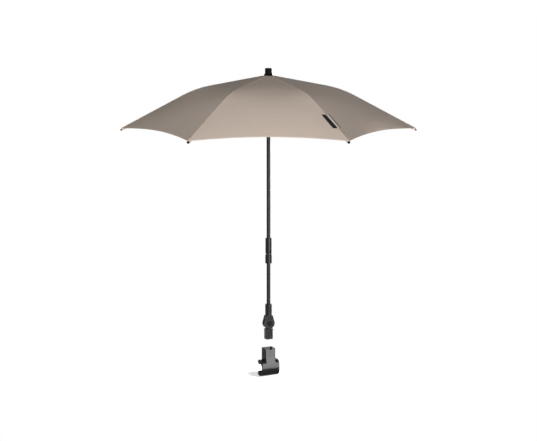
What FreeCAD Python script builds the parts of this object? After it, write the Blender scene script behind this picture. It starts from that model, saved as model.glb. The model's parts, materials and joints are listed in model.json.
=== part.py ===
# Pram parasol: a six-rib folding canopy on a two-part pole, with a tilting foot and a clip for the
# pram's tube. Millimetres, +Z up. The origin is the centre of the clip's jaw, X runs along the pram's
# tube, and the front of the clip faces -Y.
import FreeCAD
import Part
import math
import os

Vec = FreeCAD.Vector
X_AXIS = Vec(1, 0, 0)
Y_AXIS = Vec(0, 1, 0)
Z_AXIS = Vec(0, 0, 1)

# Clearances
RUN_GAP = 0.3         # between pieces that move past each other
PIN_GAP = 0.15        # between a hinge pin and its hole
FIT_GAP = 0.05        # between pieces that are pressed together
SAME_PLACE = 1e-6     # coordinates closer than this are taken as one place

# Clip: the jaw that holds the pram's tube, and the socket block above it
BORE_R = 11.0         # the pram's tube, 22 mm across
LINER_WALL = 2.4
JAW_WALL = 6.4        # from the lining to the top and bottom of the jaw
JAW_LENGTH = 46.0
JAW_FRONT_WALL = 2.6  # from the lining to the flat front
MOUTH_HEIGHT = 17.6   # opening between the two lips
LIP_REACH = 13.0      # from the bore's axis to the tip of the lips
JAW_TOP_ROUND = 11.0  # above the flat front
JAW_BOTTOM_ROUND = 16.0
SOCKET_WALL_X = 4.2
SOCKET_WALL_Y = 4.4
SOCKET_RISE = 30.0    # height of the block above the jaw
RAMP_RISE = 9.0       # the block's front starts to lean out to the jaw's front this far above the jaw
BLOCK_ROUND = 1.6
NOTCH_WIDTH = 8.0     # thumb notch in the top edge of the front
NOTCH_DEPTH = 3.4

# Foot: plug, shoulder and round tongue of the tilt joint
PLUG_WIDTH = 18.0
PLUG_DEPTH = 14.5
PLUG_LENGTH = 24.5
PLUG_TAPER = 3.0      # lead-in at the bottom of the plug
PLUG_ROUND = 1.5
PLUG_GAP = 23.0       # the plug hangs this far above the clip
SHOULDER_HEIGHT = 1.7
SHOULDER_LEDGE = 0.8
SNAP_WIDTH = 4.4      # raised snap bar on the front of the plug
SNAP_GROOVE = 2.2     # groove each side of the bar
SNAP_GROOVE_DEPTH = 1.3
SNAP_LENGTH = 16.0
TONGUE_THICK = 4.5
TONGUE_R = 11.0
NECK_HALF = 7.5

# Tilt joint: forked head with a collar for the lower tube
CHEEK_R = 13.6
CHEEK_THICK = 4.7
RIM_WIDTH = 1.2       # ring groove round the button
RIM_DEPTH = 0.8
RIM_OUTER_R = 9.6
COLLAR_R = 8.3
COLLAR_TOP = 48.0     # above the joint's axis
COLLAR_FLARE = 20.0   # height at which the flare reaches the collar
TILT_BRIDGE_DEG = 42.0  # half the arc that the bridge between the cheeks takes up
TUBE_SEAT = 24.0      # length of tube inside the collar
BUTTON_R = 6.2
BUTTON_PROUD = 1.2
BUTTON_TRAVEL = 1.2
POCKET_FLOOR = 1.0
AXLE_R = 2.5
AXLE_HEAD_R = 5.0
AXLE_HEAD = 2.0
NUT_R = 4.4
NUT_THICK = 0.8
SPRING_WALL = 0.3

# Pole
TUBE_R = 4.75
TUBE_WALL = 0.8
ELBOW_RISE = 180.0    # elbow pin above the tilt joint
ELBOW_LOWER_R = 8.1
ELBOW_UPPER_R = 7.7
ELBOW_LOWER_LENGTH = 29.0
ELBOW_UPPER_LENGTH = 33.5
ELBOW_SEAT = 18.0
ELBOW_TONGUE = 6.0
ELBOW_PIN_R = 2.0
ELBOW_BRIDGE_DEG = 45.0
ELBOW_NECK_HALF = 6.0   # half width of the tongue below the pin
APEX_RISE = 431.0     # top of the canopy above the elbow pin

# Crown, ferrule and finial
CROWN_R = 12.5
CROWN_HEIGHT = 14.0
CROWN_DROP = 1.5      # from the canopy's top to the crown's top
CROWN_ROOF = 2.6
RIB_HINGE_R = 8.0
RIB_HINGE_DROP = 6.5
WIRE_R = 0.7
FERRULE_R = 11.0
FERRULE_HEIGHT = 5.6
FERRULE_HUB_R = 5.5
FINIAL_R = 8.7
FINIAL_HEIGHT = 12.3
FINIAL_DOME = 1.6
STUD_R = 3.0
STUD_LENGTH = 20.0

# Ribs: channel bars, straight from the crown to a bend just past the stretcher, then straight to the tip
RIB_COUNT = 6
RIB_TURN = 35.0       # direction of the first rib from +X, in degrees
RIB_HALF = 1.6        # half the width and height of the bar
RIB_WALL = 0.6        # the channel in its underside leaves this much on three sides
CHANNEL_START = 8.0   # the bar is solid up to here
EYE_R = 2.2
EYE_THICK = 3.2
RIB_START_SLOPE = 8.9   # the inner run falls this many degrees
INNER_LENGTH = 125.0
BEND_LENGTH = 80.0
BEND_DEG = 19.1
OUTER_LENGTH = 170.0
LUG_AT = 118.0        # along the rib, from its hinge to the flattened eye for the stretcher
LUG_DROP = 2.0
LUG_R = 3.3           # its top lies inside the roof of the channel
LUG_THICK = 3.2
TIP_SLEEVE = 7.0
TIP_WALL = 0.45
TIP_NOSE = 2.6        # length of the cap past the rib's end
TIP_BEVEL = 1.3

# Fold: rib angle from open to closed, and the runner's place when open
FOLD_DEG = 68.0
RUNNER_DROP = 100.0   # hinge ring of the runner below the canopy's top, open
RUNNER_HINGE_R = 10.0

# Stretchers: square bar with an eye at the runner and a fork at the rib
BAR_HALF = 1.6        # half the width and height of the bar
FORK_DEPTH = 20.0
FORK_CHEEK = 1.0
FORK_BASE = 5.0
FORK_HALF_HEIGHT = 2.6
FORK_END_R = 3.0
RIVET_R = 1.7
RIVET_HEIGHT = 0.7

# Runner
NOTCH_COLLAR_R = 13.5
NOTCH_COLLAR_UP = 4.5
NOTCH_COLLAR_DOWN = 5.5
WAIST_R = 8.6
HOUSING_R = 12.5
HOUSING_TOP = 13.0    # below the hinge ring
HOUSING_HEIGHT = 16.0
SKIRT_R = 9.6
RUNNER_LENGTH = 42.0  # from the hinge ring to the bottom
SLIDER_HEIGHT = 8.0
SLIDER_WALL = 1.5
PAD_WIDTH = 9.0
PAD_PROUD = 1.6
PAD_TRAVEL = 1.6

# Canopy
CLOTH = 0.6
CLOTH_GAP = 1.4       # from the ribs to the underside of the cloth
HUB_SLOPE = 0.3       # the cloth falls this much from its hole to the crown's edge
CORNER_INSET = 1.0    # the cloth's corner stops this far short of the rib's end
HEM_SAG = 11.0        # the hem curves in by this much between two corners

# Places that follow from the sizes above
LINER_R = BORE_R + LINER_WALL
JAW_HALF = LINER_R + JAW_WALL
JAW_FRONT = -(LINER_R + JAW_FRONT_WALL)
HOLE_WIDTH = PLUG_WIDTH + 2 * RUN_GAP
HOLE_DEPTH = PLUG_DEPTH + 2 * RUN_GAP
BLOCK_WIDTH = HOLE_WIDTH + 2 * SOCKET_WALL_X
BLOCK_DEPTH = HOLE_DEPTH + 2 * SOCKET_WALL_Y
BLOCK_TOP = JAW_HALF + SOCKET_RISE
PLUG_BOTTOM = BLOCK_TOP + PLUG_GAP
PLUG_TOP = PLUG_BOTTOM + PLUG_LENGTH
JOINT_Z = PLUG_TOP + SHOULDER_HEIGHT + RUN_GAP + CHEEK_R
SOCKET_FLOOR = BLOCK_TOP - PLUG_LENGTH - RUN_GAP
PLUG_TRAVEL = PLUG_GAP + PLUG_LENGTH - RUN_GAP
CHEEK_INNER = TONGUE_THICK / 2 + RUN_GAP
CHEEK_OUTER = CHEEK_INNER + CHEEK_THICK
POCKET_Y = CHEEK_INNER + POCKET_FLOOR
PIN_Z = JOINT_Z + ELBOW_RISE
ELBOW_BOTTOM = PIN_Z - ELBOW_LOWER_LENGTH
ELBOW_TOP = PIN_Z + ELBOW_UPPER_LENGTH
ELBOW_SHOULDER = ELBOW_LOWER_R + RUN_GAP
APEX_Z = PIN_Z + APEX_RISE
CROWN_TOP = APEX_Z - CROWN_DROP
CROWN_BOTTOM = CROWN_TOP - CROWN_HEIGHT
RIB_HINGE_Z = APEX_Z - RIB_HINGE_DROP
RUNNER_Z = APEX_Z - RUNNER_DROP
BEND_END = INNER_LENGTH + BEND_LENGTH
BEND_R = BEND_LENGTH / math.radians(BEND_DEG)
RIB_LENGTH = BEND_END + OUTER_LENGTH
GORE_DEG = 360.0 / RIB_COUNT
HALF_GORE = math.pi / RIB_COUNT
CANOPY_HOLE_R = (FERRULE_HUB_R + RUN_GAP) / math.cos(HALF_GORE)
SLOT_HALF = max(EYE_THICK / 2, RIB_HALF) + RUN_GAP
FORK_SLOT_HALF = RIB_HALF + RUN_GAP


def rod(radius, start, end):
    """A round bar from one point to another."""
    return Part.makeCylinder(radius, (end - start).Length, start, end - start)


def across(radius, y_from, y_to, z):
    """A round bar along Y on the pole's centre plane."""
    return rod(radius, Vec(0, y_from, z), Vec(0, y_to, z))


def block(width, depth, bottom, top, y_middle=0.0):
    """A box on the Z axis, moved to y_middle."""
    corner = Vec(-width / 2, y_middle - depth / 2, bottom)
    return Part.makeBox(width, depth, top - bottom, corner)


def turned(outline):
    """A solid turned about Z from its (radius, height) outline."""
    points = [Vec(radius, 0, height) for radius, height in outline]
    face = Part.Face(Part.makePolygon(points + points[:1]))
    return face.revolve(Vec(), Z_AXIS, 360)


def rounded(shape, radius, direction):
    """Fillet the straight edges that run along one direction."""
    edges = []
    for edge in shape.Edges:
        if edge.Curve.TypeId != "Part::GeomLine":
            continue
        run = edge.Vertexes[-1].Point - edge.Vertexes[0].Point
        if run.cross(direction).Length < SAME_PLACE:
            edges.append(edge)
    return shape.makeFillet(radius, edges)


def at_rib(shape, number):
    """Turn a shape made in the XZ plane to the direction of one rib."""
    copy = shape.copy()
    copy.rotate(Vec(), Z_AXIS, RIB_TURN + GORE_DEG * number)
    return copy


def hub_slots(z_bottom, z_top, r_inner):
    """Six radial slots for the eyes of ribs or stretchers."""
    reach = NOTCH_COLLAR_R + CROWN_R
    slot = Part.makeBox(reach, 2 * SLOT_HALF, z_top - z_bottom, Vec(r_inner, -SLOT_HALF, z_bottom))
    return [at_rib(slot, number) for number in range(RIB_COUNT)]


def wire_groove(radius, z, r_outer):
    """The groove, open to the outside, that a hinge wire is laid in."""
    half = WIRE_R + FIT_GAP
    r_inner = radius - half
    return turned([(r_inner, z - half), (r_outer, z - half), (r_outer, z + half), (r_inner, z + half)])


def rib_station(along):
    """Radius, height from the canopy's top, and downward slope at a length along the rib."""
    inner_run = min(along, INNER_LENGTH)
    bend_run = min(max(along - INNER_LENGTH, 0), BEND_LENGTH)
    outer_run = max(along - BEND_END, 0)
    start = math.radians(RIB_START_SLOPE)
    slope = start + bend_run / BEND_R
    radius = RIB_HINGE_R + inner_run * math.cos(start) + outer_run * math.cos(slope)
    radius += BEND_R * (math.sin(slope) - math.sin(start))
    height = -RIB_HINGE_DROP - inner_run * math.sin(start) - outer_run * math.sin(slope)
    height -= BEND_R * (math.cos(start) - math.cos(slope))
    return radius, height, slope


def beside_rib(along, offset):
    """Point in the rib's plane at a length along it, offset outward from its centre line."""
    radius, height, slope = rib_station(along)
    return Vec(radius + offset * math.sin(slope), 0, APEX_Z + height + offset * math.cos(slope))


LUG = beside_rib(LUG_AT, -LUG_DROP)
RIB_HINGE = Vec(RIB_HINGE_R, 0, RIB_HINGE_Z)
RUNNER_HINGE = Vec(RUNNER_HINGE_R, 0, RUNNER_Z)
STRETCHER_LENGTH = (LUG - RUNNER_HINGE).Length
STRETCHER_RISE = math.atan2(LUG.z - RUNNER_HINGE.z, LUG.x - RUNNER_HINGE.x)


def fold_figures():
    """The runner's travel and the stretcher's turn that close the linkage at the folded limit."""
    arm = LUG - RIB_HINGE
    turn = math.radians(FOLD_DEG)
    folded_x = RIB_HINGE.x + arm.x * math.cos(turn) + arm.z * math.sin(turn)
    folded_z = RIB_HINGE.z - arm.x * math.sin(turn) + arm.z * math.cos(turn)
    reach = folded_x - RUNNER_HINGE_R
    rise = math.sqrt(STRETCHER_LENGTH ** 2 - reach ** 2)
    travel = RUNNER_Z - (folded_z - rise)
    stretcher_turn = math.degrees(math.atan2(rise, reach) - STRETCHER_RISE)
    return travel, stretcher_turn


def jaw_outline(rear_y):
    """Face of the jaw at its left end, without the lips: flat front between two large roundings."""
    left = -JAW_LENGTH / 2
    edges = []

    def rounding(radius, side):
        """Quarter arc from the flat front to the top or bottom of the jaw."""
        centre = Vec(left, JAW_FRONT + radius, side * (JAW_HALF - radius))
        reach = radius * math.sqrt(0.5)
        front = centre + Vec(0, -radius, 0)
        end = centre + Vec(0, 0, side * radius)
        edges.append(Part.Arc(front, centre + Vec(0, -reach, side * reach), end).toShape())
        return front, end

    top_front, top_end = rounding(JAW_TOP_ROUND, 1)
    bottom_front, bottom_end = rounding(JAW_BOTTOM_ROUND, -1)
    rear_top = Vec(left, rear_y, JAW_HALF)
    rear_bottom = Vec(left, rear_y, -JAW_HALF)
    for start, end in ((top_front, bottom_front), (top_end, rear_top), (rear_top, rear_bottom),
                       (rear_bottom, bottom_end)):
        edges.append(Part.makeLine(start, end))
    return Part.Face(Part.Wire(Part.__sortEdges__(edges)))


def front_ramp():
    """Web as wide as the block's flat front, which leans out from there to the jaw's front."""
    block_front = -BLOCK_DEPTH / 2
    low = JAW_HALF - JAW_TOP_ROUND
    left = -BLOCK_WIDTH / 2 + BLOCK_ROUND
    top = Vec(left, block_front, JAW_HALF + RAMP_RISE)
    corners = [top, Vec(left, JAW_FRONT, low), Vec(left, block_front, low)]
    web = Part.Face(Part.makePolygon(corners + corners[:1]))
    return web.extrude(X_AXIS * (BLOCK_WIDTH - 2 * BLOCK_ROUND))


def clip_body():
    """Moulded clip: C-shaped jaw with round lips, open to the rear, and a socket block on top."""
    half = JAW_LENGTH / 2
    lip_r = (JAW_HALF - MOUTH_HEIGHT / 2) / 2
    lip_y = LIP_REACH - lip_r
    lip_z = MOUTH_HEIGHT / 2 + lip_r
    jaw = jaw_outline(lip_y).extrude(X_AXIS * JAW_LENGTH)
    for side in (-1, 1):
        lip = rod(lip_r, Vec(-half, lip_y, side * lip_z), Vec(half, lip_y, side * lip_z))
        jaw = jaw.fuse(lip)
    mouth = Part.makeBox(JAW_LENGTH, LIP_REACH, MOUTH_HEIGHT, Vec(-half, 0, -MOUTH_HEIGHT / 2))
    bore = rod(LINER_R, Vec(-half, 0, 0), Vec(half, 0, 0))
    socket = rounded(block(BLOCK_WIDTH, BLOCK_DEPTH, 0, BLOCK_TOP), BLOCK_ROUND, Z_AXIS)
    hole = block(HOLE_WIDTH, HOLE_DEPTH, SOCKET_FLOOR, BLOCK_TOP + SOCKET_RISE)
    hole = rounded(hole, PLUG_ROUND, Z_AXIS)
    notch_low = BLOCK_TOP - NOTCH_DEPTH + NOTCH_WIDTH / 2
    notch = across(NOTCH_WIDTH / 2, -BLOCK_DEPTH, 0, notch_low)
    notch_rise = block(NOTCH_WIDTH, BLOCK_DEPTH, notch_low, BLOCK_TOP + NOTCH_WIDTH, -BLOCK_DEPTH / 2)
    body = jaw.fuse([socket, front_ramp()])
    for tool in (mouth, bore, hole, notch, notch_rise):
        body = body.cut(tool)
    return body.removeSplitter()


def clip_liner():
    """Rubber lining of the jaw: a C-shaped sleeve with its mouth to the rear."""
    half = JAW_LENGTH / 2
    sleeve = rod(LINER_R - FIT_GAP, Vec(-half, 0, 0), Vec(half, 0, 0))
    bore = rod(BORE_R, Vec(-half, 0, 0), Vec(half, 0, 0))
    mouth = Part.makeBox(JAW_LENGTH, LIP_REACH + LINER_R, MOUTH_HEIGHT, Vec(-half, 0, -MOUTH_HEIGHT / 2))
    return sleeve.cut(bore).cut(mouth)


def plug():
    """Tapered plug with a raised snap bar between two grooves on its front."""
    upright = rounded(block(PLUG_WIDTH, PLUG_DEPTH, PLUG_BOTTOM, PLUG_TOP), PLUG_ROUND, Z_AXIS)
    lead = PLUG_TAPER / 2
    bottom_edges = []
    for edge in upright.Edges:
        if abs(edge.CenterOfMass.z - PLUG_BOTTOM) < SAME_PLACE:
            bottom_edges.append(edge)
    upright = upright.makeChamfer(lead / 2, bottom_edges)
    groove_low = PLUG_TOP - SNAP_LENGTH
    face_y = -PLUG_DEPTH / 2
    for side in (-1, 1):
        groove_x = side * (SNAP_WIDTH + SNAP_GROOVE) / 2
        corner = Vec(groove_x - SNAP_GROOVE / 2, face_y, groove_low)
        upright = upright.cut(Part.makeBox(SNAP_GROOVE, SNAP_GROOVE_DEPTH, SNAP_LENGTH - lead, corner))
    return upright


def foot_plug():
    """Foot of the pole: plug, shoulder, neck and the round tongue of the tilt joint."""
    ledge = 2 * SHOULDER_LEDGE
    shoulder_top = PLUG_TOP + SHOULDER_HEIGHT
    shoulder = block(PLUG_WIDTH + ledge, PLUG_DEPTH + ledge, PLUG_TOP, shoulder_top)
    shoulder = rounded(shoulder, PLUG_ROUND, Z_AXIS)
    neck = block(2 * NECK_HALF, TONGUE_THICK, shoulder_top, JOINT_Z)
    tongue = across(TONGUE_R, -TONGUE_THICK / 2, TONGUE_THICK / 2, JOINT_Z)
    foot = plug().fuse([shoulder, neck, tongue])
    axle_hole = across(AXLE_R + PIN_GAP, -CHEEK_OUTER, CHEEK_OUTER, JOINT_Z)
    return foot.cut(axle_hole).removeSplitter()


def head_outline():
    """Flared outline of the head, tangent to the round cheeks and as wide as the collar at its top."""
    top = Vec(COLLAR_R, -CHEEK_OUTER, JOINT_Z + COLLAR_FLARE)
    distance = math.hypot(COLLAR_R, COLLAR_FLARE)
    angle = math.atan2(COLLAR_FLARE, COLLAR_R) - math.acos(CHEEK_R / distance)
    touch = Vec(CHEEK_R * math.cos(angle), -CHEEK_OUTER, JOINT_Z + CHEEK_R * math.sin(angle))
    left_top = Vec(-top.x, top.y, top.z)
    left_touch = Vec(-touch.x, touch.y, touch.z)
    low = Vec(0, -CHEEK_OUTER, JOINT_Z - CHEEK_R)
    edges = [
        Part.Arc(left_touch, low, touch).toShape(),
        Part.makeLine(touch, top),
        Part.makeLine(top, left_top),
        Part.makeLine(left_top, left_touch),
    ]
    return Part.Face(Part.Wire(edges))


def fork_slot(half_thick, knuckle_r, z, bridge_deg, reach):
    """The space between a fork's cheeks, open below and at the sides, closed by a bridge at the top."""
    slab = across(reach, -half_thick, half_thick, z)
    spread = reach * math.tan(math.radians(bridge_deg))
    middle = Vec(0, -half_thick, z)
    right = Vec(spread, -half_thick, z + reach)
    left = Vec(-spread, -half_thick, z + reach)
    wedge = Part.Face(Part.makePolygon([middle, right, left, middle])).extrude(Y_AXIS * 2 * half_thick)
    return slab.cut(wedge.cut(across(knuckle_r + RUN_GAP, -half_thick, half_thick, z)))


def tilt_head():
    """Forked head of the lower pole: two round cheeks, a flare and a collar for the tube."""
    fork = head_outline().extrude(Y_AXIS * 2 * CHEEK_OUTER)
    collar_low = JOINT_Z + TONGUE_R + RUN_GAP
    collar_high = JOINT_Z + COLLAR_TOP
    collar = rod(COLLAR_R, Vec(0, 0, collar_low), Vec(0, 0, collar_high))
    seat = rod(TUBE_R + FIT_GAP, Vec(0, 0, collar_high - TUBE_SEAT), Vec(0, 0, collar_high))
    head = fork.fuse(collar)
    rim = across(RIM_OUTER_R, -CHEEK_OUTER, RIM_DEPTH - CHEEK_OUTER, JOINT_Z)
    rim = rim.cut(across(RIM_OUTER_R - RIM_WIDTH, -CHEEK_OUTER, RIM_DEPTH - CHEEK_OUTER, JOINT_Z))
    pocket = across(BUTTON_R + RUN_GAP, -CHEEK_OUTER, -POCKET_Y, JOINT_Z)
    axle_hole = across(AXLE_R + FIT_GAP, -CHEEK_OUTER, CHEEK_OUTER, JOINT_Z)
    head_recess = across(AXLE_HEAD_R + FIT_GAP, CHEEK_OUTER - AXLE_HEAD, CHEEK_OUTER, JOINT_Z)
    slot = fork_slot(CHEEK_INNER, TONGUE_R, JOINT_Z, TILT_BRIDGE_DEG, COLLAR_FLARE)
    for tool in (slot, seat, rim, pocket, axle_hole, head_recess):
        head = head.cut(tool)
    return head.removeSplitter()


def tilt_axle():
    """Flat-headed axle, put in from the rear."""
    shank_end = -(POCKET_Y + NUT_THICK)
    shank = across(AXLE_R, shank_end, CHEEK_OUTER - AXLE_HEAD, JOINT_Z)
    return shank.fuse(across(AXLE_HEAD_R, CHEEK_OUTER - AXLE_HEAD, CHEEK_OUTER, JOINT_Z))


def tilt_nut():
    """Push nut on the axle's end, on the floor of the button's pocket."""
    ring = across(NUT_R, -(POCKET_Y + NUT_THICK), -POCKET_Y, JOINT_Z)
    return ring.cut(across(AXLE_R + FIT_GAP, -(POCKET_Y + NUT_THICK), -POCKET_Y, JOINT_Z))


def button_levels():
    """Distances from the joint's middle plane to the button's inner end, cup floor and front."""
    front = CHEEK_OUTER + BUTTON_PROUD
    inner = POCKET_Y + NUT_THICK + BUTTON_TRAVEL + RUN_GAP
    cup = inner + (front - inner) / 2
    return inner, cup, front


def tilt_spring():
    """Dished spring washer between the nut and the button, drawn at its pressed height."""
    seat = POCKET_Y + NUT_THICK
    rise = button_levels()[1] - BUTTON_TRAVEL - RUN_GAP - seat
    outer = NUT_R
    inner = AXLE_R + SPRING_WALL
    outline = [(outer, seat), (outer, seat + SPRING_WALL)]
    outline += [(inner, seat + rise), (inner, seat + rise - SPRING_WALL)]
    washer = turned(outline)
    washer.rotate(Vec(), X_AXIS, 90)
    washer.translate(Vec(0, 0, JOINT_Z))
    return washer


def tilt_button():
    """Round push button with a domed edge and a cup for the spring behind it."""
    inner, cup, front = button_levels()
    dome = BUTTON_PROUD / 2
    outline = [(0, cup), (NUT_R + RUN_GAP, cup), (NUT_R + RUN_GAP, inner), (BUTTON_R, inner)]
    outline += [(BUTTON_R, front - dome), (BUTTON_R - dome, front), (0, front)]
    button = turned(outline)
    button.rotate(Vec(), X_AXIS, 90)
    button.translate(Vec(0, 0, JOINT_Z))
    return button


def tube(bottom, top):
    """Thin round tube of the pole."""
    outer = rod(TUBE_R, Vec(0, 0, bottom), Vec(0, 0, top))
    return outer.cut(rod(TUBE_R - TUBE_WALL, Vec(0, 0, bottom), Vec(0, 0, top)))


def lower_tube():
    return tube(JOINT_Z + COLLAR_TOP - TUBE_SEAT, ELBOW_BOTTOM + ELBOW_SEAT)


def upper_tube():
    return tube(ELBOW_TOP - ELBOW_SEAT, CROWN_TOP - CROWN_ROOF)


def elbow_knuckle_r():
    """Radius of the rounded knuckle ends about the elbow's pin."""
    return ELBOW_UPPER_R - FIT_GAP


def elbow_lower():
    """Lower half of the elbow: a sleeve for the tube with a flat tongue on top."""
    shoulder = PIN_Z - ELBOW_SHOULDER
    sleeve = rod(ELBOW_LOWER_R, Vec(0, 0, ELBOW_BOTTOM), Vec(0, 0, shoulder))
    seat = rod(TUBE_R + FIT_GAP, Vec(0, 0, ELBOW_BOTTOM), Vec(0, 0, ELBOW_BOTTOM + ELBOW_SEAT))
    half = ELBOW_TONGUE / 2
    knuckle = across(elbow_knuckle_r(), -half, half, PIN_Z)
    neck = block(2 * ELBOW_NECK_HALF, ELBOW_TONGUE, shoulder, PIN_Z)
    core = rod(elbow_knuckle_r(), Vec(0, 0, shoulder), Vec(0, 0, ELBOW_TOP))
    tongue = knuckle.fuse(neck).common(core)
    pin_hole = across(ELBOW_PIN_R + PIN_GAP, -ELBOW_LOWER_R, ELBOW_LOWER_R, PIN_Z)
    return sleeve.cut(seat).fuse(tongue).cut(pin_hole).removeSplitter()


def elbow_upper():
    """Upper half of the elbow: a sleeve for the tube with two rounded cheeks round the tongue."""
    knuckle_r = elbow_knuckle_r()
    upright = rod(ELBOW_UPPER_R, Vec(0, 0, PIN_Z), Vec(0, 0, ELBOW_TOP))
    cheeks = rod(ELBOW_UPPER_R, Vec(0, 0, PIN_Z - knuckle_r), Vec(0, 0, PIN_Z))
    cheeks = cheeks.common(across(knuckle_r, -ELBOW_UPPER_R, ELBOW_UPPER_R, PIN_Z))
    half = ELBOW_TONGUE / 2 + RUN_GAP
    slot = fork_slot(half, knuckle_r, PIN_Z, ELBOW_BRIDGE_DEG, 2 * knuckle_r)
    seat = rod(TUBE_R + FIT_GAP, Vec(0, 0, ELBOW_TOP - ELBOW_SEAT), Vec(0, 0, ELBOW_TOP))
    pin_hole = across(ELBOW_PIN_R + FIT_GAP, -ELBOW_UPPER_R, ELBOW_UPPER_R, PIN_Z)
    half_shell = upright.fuse(cheeks)
    for tool in (slot, seat, pin_hole):
        half_shell = half_shell.cut(tool)
    return half_shell.removeSplitter()


def elbow_pin():
    """Rivet through the elbow, with its ends trimmed flush to the sleeve."""
    pin = across(ELBOW_PIN_R, -ELBOW_UPPER_R, ELBOW_UPPER_R, PIN_Z)
    return pin.common(rod(ELBOW_UPPER_R, Vec(0, 0, ELBOW_BOTTOM), Vec(0, 0, ELBOW_TOP)))


def crown():
    """Slotted hub on top of the pole, with a groove for the wire that the ribs hang on."""
    edge = CROWN_ROOF / 4
    outline = [(0, CROWN_BOTTOM), (CROWN_R, CROWN_BOTTOM), (CROWN_R, CROWN_TOP - edge)]
    outline += [(CROWN_R - edge, CROWN_TOP), (0, CROWN_TOP)]
    hub = turned(outline)
    ceiling = RIB_HINGE_Z + EYE_R + RUN_GAP
    tools = hub_slots(CROWN_BOTTOM, ceiling, RIB_HINGE_R - EYE_R - RUN_GAP)
    tools.append(wire_groove(RIB_HINGE_R, RIB_HINGE_Z, CROWN_R))
    tools.append(rod(TUBE_R + FIT_GAP, Vec(0, 0, CROWN_BOTTOM), Vec(0, 0, CROWN_TOP - CROWN_ROOF)))
    tools.append(rod(STUD_R + FIT_GAP, Vec(0, 0, CROWN_BOTTOM), Vec(0, 0, CROWN_TOP)))
    return hub.cut(tools).removeSplitter()


def hinge_wire(radius, z):
    """Closed six-sided ring of wire that the eyes turn on, with a straight side for each eye."""
    half_side = radius * math.tan(HALF_GORE)
    corner = half_side + WIRE_R
    wire = rod(WIRE_R, Vec(radius, -corner, z), Vec(radius, corner, z))
    middle = Vec(0, 0, z - 2 * WIRE_R)
    spread = 2 * radius * math.tan(HALF_GORE)
    wedge = [middle, middle + Vec(2 * radius, spread, 0), middle + Vec(2 * radius, -spread, 0), middle]
    side = wire.common(Part.Face(Part.makePolygon(wedge)).extrude(Z_AXIS * 4 * WIRE_R))
    sides = [at_rib(side, number) for number in range(RIB_COUNT)]
    return sides[0].fuse(sides[1:]).removeSplitter()


def ferrule():
    """Skirt under the finial that holds the canopy's middle down, with a hub through the cloth."""
    low = APEX_Z + RUN_GAP
    high = low + FERRULE_HEIGHT
    bore = STUD_R + FIT_GAP
    outline = [(bore, CROWN_TOP), (FERRULE_HUB_R, CROWN_TOP), (FERRULE_HUB_R, low), (FERRULE_R, low)]
    outline += [(FERRULE_R, low + FERRULE_HEIGHT / 4), (FINIAL_R, high), (bore, high)]
    return turned(outline)


def finial():
    """Knob on top, with a stud down through the ferrule into the crown."""
    low = APEX_Z + RUN_GAP + FERRULE_HEIGHT
    high = low + FINIAL_HEIGHT
    foot = low - STUD_LENGTH
    outline = [(0, foot), (STUD_R, foot), (STUD_R, low), (FINIAL_R, low), (FINIAL_R, high - FINIAL_DOME)]
    outline += [(FINIAL_R - FINIAL_DOME, high), (0, high)]
    return turned(outline)


def along_rib(half_width, low, high, start):
    """A bar of rectangular section along the rib: a straight run, the bend and a second straight run."""

    def section(along):
        corners = []
        for side, up in ((-1, low), (-1, high), (1, high), (1, low)):
            corners.append(beside_rib(along, up) + Y_AXIS * side * half_width)
        return Part.Face(Part.makePolygon(corners + corners[:1]))

    inner = section(start).extrude(beside_rib(INNER_LENGTH, 0) - beside_rib(start, 0))
    bend = section(INNER_LENGTH).revolve(beside_rib(INNER_LENGTH, -BEND_R), Y_AXIS, BEND_DEG)
    outer = section(BEND_END).extrude(beside_rib(RIB_LENGTH, 0) - beside_rib(BEND_END, 0))
    return inner.fuse([bend, outer])


def rib_bar():
    """Bar of the rib, with a channel along its underside."""
    bar = along_rib(RIB_HALF, -RIB_HALF, RIB_HALF, 0)
    inner = RIB_HALF - RIB_WALL
    return bar.cut(along_rib(inner, -RIB_HALF, inner, CHANNEL_START))


def eye_disc(centre, radius, thick):
    """A flattened round eye in the XZ plane."""
    offset = Vec(0, thick / 2, 0)
    return rod(radius, centre - offset, centre + offset)


def rib():
    """Rib: channel bar with a hinge eye at the crown and a pierced lug for the stretcher."""
    solid = rib_bar().fuse([eye_disc(RIB_HINGE, EYE_R, EYE_THICK), eye_disc(LUG, LUG_R, LUG_THICK)])
    hinge_hole = eye_disc(RIB_HINGE, WIRE_R + RUN_GAP, 2 * EYE_THICK)
    rivet_hole = eye_disc(LUG, WIRE_R + RUN_GAP, 2 * LUG_THICK)
    return solid.cut([hinge_hole, rivet_hole]).removeSplitter()


def rib_tip():
    """Moulded cap on the rib's end: a thin square sleeve under the cloth and a bevelled nose."""
    bore = RIB_HALF + FIT_GAP
    outer = bore + TIP_WALL
    cap = Part.makeBox(TIP_SLEEVE + TIP_NOSE, 2 * outer, 2 * outer, Vec(-TIP_SLEEVE, -outer, -outer))
    nose_edges = [edge for edge in cap.Edges if abs(edge.CenterOfMass.x - TIP_NOSE) < SAME_PLACE]
    cap = cap.makeChamfer(TIP_BEVEL, nose_edges)
    cap = cap.cut(Part.makeBox(TIP_SLEEVE + FIT_GAP, 2 * bore, 2 * bore, Vec(-TIP_SLEEVE, -bore, -bore)))
    cap.rotate(Vec(), Y_AXIS, math.degrees(rib_station(RIB_LENGTH)[2]))
    cap.translate(beside_rib(RIB_LENGTH, 0))
    return cap


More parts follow.
